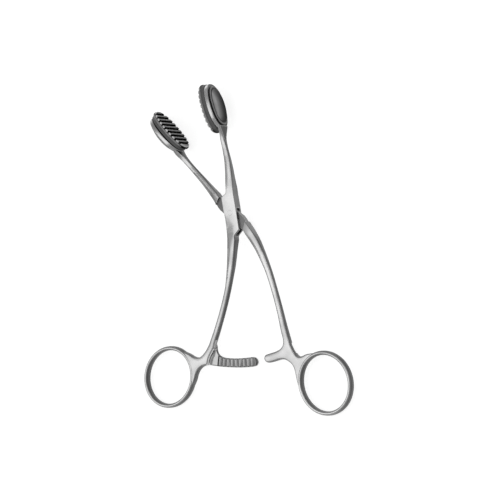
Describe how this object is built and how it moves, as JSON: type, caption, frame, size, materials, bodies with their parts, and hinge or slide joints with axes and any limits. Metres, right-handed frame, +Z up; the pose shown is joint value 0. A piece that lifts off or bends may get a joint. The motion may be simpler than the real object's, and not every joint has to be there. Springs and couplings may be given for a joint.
{
  "type": "tongue forceps",
  "caption": "Box-lock tongue forceps with finger rings, a ratchet between the handles and oval jaw frames holding ribbed rubber inserts.",
  "frame": {"origin": "middle of the bounding box at the height of the table the forceps lie on", "axes": "+Z up, out of the front face of the lock; +Y from the finger rings towards the jaws; +X towards the finger ring of the tongue half"},
  "size_m": [0.1206, 0.166, 0.0161],
  "materials": {
    "satin_steel": "satin stainless steel",
    "grey_rubber": "matt moulded rubber"
  },
  "bodies": {
    "box_side": {"box_half": "satin_steel", "pivot_pin": "satin_steel", "box_half_pad": "grey_rubber"},
    "tongue_side": {"tongue_half": "satin_steel", "tongue_half_pad": "grey_rubber"}
  },
  "joints": [
    {"name": "lock_pivot", "type": "hinge", "parent": "box_side", "child": "tongue_side", "pos_m": [-0.00806, 0.01731, 0.00614], "axis": [-0.0002, -0.0403, 0.9992], "range_deg": [-23.4, 28]}
  ]
}
